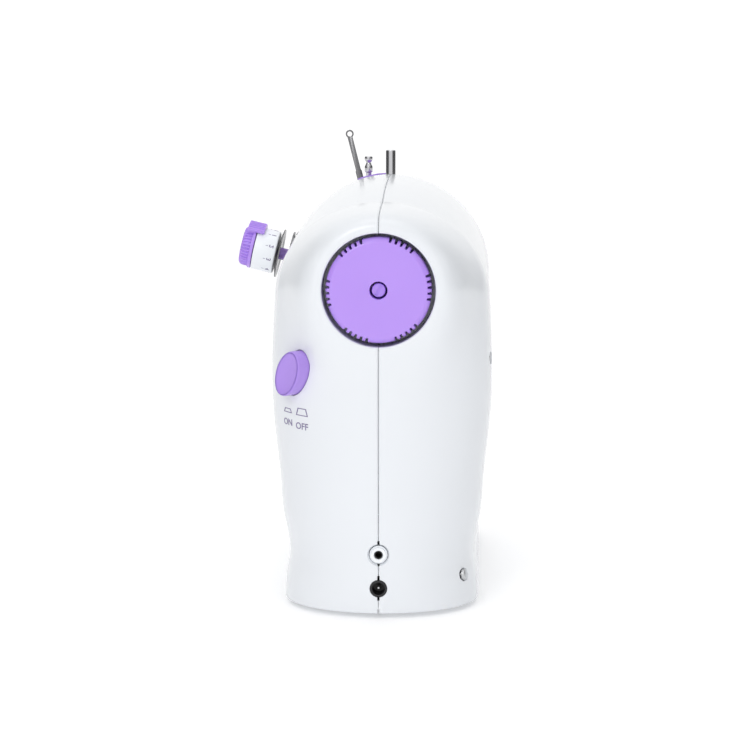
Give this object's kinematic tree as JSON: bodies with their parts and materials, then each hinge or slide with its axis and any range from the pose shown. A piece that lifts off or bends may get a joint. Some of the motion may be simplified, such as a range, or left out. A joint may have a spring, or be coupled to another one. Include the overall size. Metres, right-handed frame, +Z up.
{
  "type": "sewing machine",
  "caption": "compact household sewing machine: C-shaped two-part casing, end handwheel, needle and presser bars, take-up lever, tension dial and rotary hook",
  "frame": {"origin": "on the table under the middle of the machine's overall box; the casing's parting plane is at Y = 13.8 mm", "axes": "+X to the operator's right, where the handwheel is; -Y towards the operator; +Z up"},
  "size_m": [0.1994, 0.1267, 0.2091],
  "materials": {
    "white_plastic": "smooth glossy moulded plastic, cool white",
    "lilac_plastic": "satin moulded plastic, lilac",
    "black_plastic": "matt black plastic",
    "smoked_plastic": "tinted glossy plastic",
    "clear_plastic": "clear polystyrene",
    "nylon": "natural nylon",
    "chrome": "polished chrome plate",
    "steel": "ground steel",
    "cast_metal": "as-cast aluminium alloy",
    "bronze": "sintered bronze",
    "rubber": "matt black rubber",
    "board_green": "glass-fibre circuit board with green mask",
    "lamp_lens": "clear lens"
  },
  "bodies": {
    "machine": {"front_shell": "white_plastic", "rear_shell": "white_plastic", "top_insert": "lilac_plastic", "main_frame": "cast_metal", "needle_plate": "chrome", "battery_box": "black_plastic", "foot_left_front": "rubber", "foot_left_rear": "rubber", "foot_right_front": "rubber", "foot_right_rear": "rubber", "case_screw_lower_right": "steel", "case_screw_lower_left": "steel", "case_screw_upper_right": "steel", "case_screw_upper_left": "steel", "shaft_bush_left": "bronze", "shaft_bush_right": "bronze", "motor": "steel", "circuit_board": "board_green", "power_jack": "black_plastic", "pedal_jack": "white_plastic", "sewing_lamp": "lamp_lens", "thread_guide_post": "chrome", "tension_post": "lilac_plastic", "inner_tension_disc": "chrome", "outer_tension_disc": "chrome", "tension_drum": "white_plastic", "check_spring": "chrome", "bobbin_case": "black_plastic", "timing_belt": "rubber", "presser_spring": "steel"},
    "shaft": {"handwheel": "lilac_plastic", "winder_spindle": "lilac_plastic", "main_shaft": "steel", "drive_gear": "nylon", "upper_pulley": "nylon", "crank_disc": "steel"},
    "motor_rotor": {"motor_pinion": "steel"},
    "lower_drive": {"lower_shaft": "steel", "lower_pulley": "nylon", "hook_drive_gear": "nylon"},
    "hook": {"rotary_hook": "steel"},
    "bobbin": {"bobbin": "clear_plastic"},
    "needle_carrier": {"needle_bar": "chrome", "needle_clamp": "chrome", "needle": "steel"},
    "clamp_screw": {"needle_clamp_screw": "chrome"},
    "link": {"crank_link": "steel"},
    "lever": {"take_up_lever": "chrome"},
    "presser": {"presser_bar": "chrome", "presser_shank": "chrome"},
    "foot": {"presser_foot": "chrome"},
    "lifter": {"presser_lifter": "white_plastic"},
    "feed": {"feed_dog": "steel"},
    "cover": {"bobbin_cover": "smoked_plastic"},
    "tension_dial": {"tension_knob": "lilac_plastic"},
    "spool": {"spool_pin": "chrome"},
    "button": {"power_button": "lilac_plastic"},
    "battery_hatch": {"battery_door": "white_plastic"}
  },
  "joints": [
    {"name": "handwheel_turn", "type": "hinge", "parent": "machine", "child": "shaft", "pos_m": [0.09, 0.0138, 0.145], "axis": [1, 0, 0], "continuous": true},
    {"name": "motor_turn", "type": "hinge", "parent": "machine", "child": "motor_rotor", "pos_m": [0.05, 0.0358, 0.152], "axis": [1, 0, 0], "continuous": true},
    {"name": "lower_shaft_turn", "type": "hinge", "parent": "machine", "child": "lower_drive", "pos_m": [0, 0.0138, 0.024], "axis": [1, 0, 0], "continuous": true},
    {"name": "hook_turn", "type": "hinge", "parent": "machine", "child": "hook", "pos_m": [-0.074, -0.0027, 0.04], "axis": [0, 0, 1], "continuous": true},
    {"name": "bobbin_turn", "type": "hinge", "parent": "machine", "child": "bobbin", "pos_m": [-0.074, -0.0027, 0.046], "axis": [0, 0, 1], "continuous": true},
    {"name": "needle_bar_slide", "type": "slide", "parent": "machine", "child": "needle_carrier", "axis": [0, 0, 1], "range_m": [-0.02, 0]},
    {"name": "clamp_screw_turn", "type": "hinge", "parent": "needle_carrier", "child": "clamp_screw", "pos_m": [-0.067, 0.0138, 0.0945], "axis": [1, 0, 0], "range_deg": [0, 540]},
    {"name": "link_swing", "type": "hinge", "parent": "needle_carrier", "child": "link", "pos_m": [-0.0685, 0.0138, 0.133], "axis": [1, 0, 0], "range_deg": [-20, 20]},
    {"name": "take_up", "type": "hinge", "parent": "machine", "child": "lever", "pos_m": [-0.08, 0.0288, 0.15], "axis": [1, 0, 0], "range_deg": [0, 32]},
    {"name": "presser_lift", "type": "slide", "parent": "machine", "child": "presser", "axis": [0, 0, 1], "range_m": [0, 0.006], "deforming": ["presser_spring"]},
    {"name": "foot_rock", "type": "hinge", "parent": "presser", "child": "foot", "pos_m": [-0.074, 0.0198, 0.0655], "axis": [1, 0, 0], "range_deg": [-4, 4]},
    {"name": "lifter_turn", "type": "hinge", "parent": "machine", "child": "lifter", "pos_m": [-0.06, 0.0398, 0.11], "axis": [0, -1, 0], "range_deg": [0, 35]},
    {"name": "feed_slide", "type": "slide", "parent": "machine", "child": "feed", "axis": [0, 1, 0], "range_m": [-0.0012, 0.0012]},
    {"name": "cover_slide", "type": "slide", "parent": "machine", "child": "cover", "axis": [0, -1, 0], "range_m": [0, 0.025]},
    {"name": "tension_turn", "type": "hinge", "parent": "machine", "child": "tension_dial", "pos_m": [-0.062, -0.05806, 0.15162], "axis": [0, -0.9744, 0.225], "range_deg": [-150, 150]},
    {"name": "spool_pin_raise", "type": "slide", "parent": "machine", "child": "spool", "axis": [0, 0, 1], "range_m": [0, 0.021]},
    {"name": "button_press", "type": "slide", "parent": "machine", "child": "button", "axis": [-0.7479, 0.6639, 0], "range_m": [0, 0.003], "stiffness_N_per_m": 300, "springref_m": -0.001},
    {"name": "battery_door_slide", "type": "slide", "parent": "machine", "child": "battery_hatch", "axis": [-1, 0, 0], "range_m": [0, 0.006]}
  ],
  "couplings": [
    {"joint": "motor_turn", "follows": "handwheel_turn", "ratio": -4.75},
    {"joint": "lower_shaft_turn", "follows": "handwheel_turn", "ratio": 1},
    {"joint": "hook_turn", "follows": "handwheel_turn", "ratio": 2},
    {"joint": "take_up", "follows": "needle_bar_slide", "rad_per_m": -27.925},
    {"joint": "lifter_turn", "follows": "presser_lift", "rad_per_m": 101.81}
  ]
}
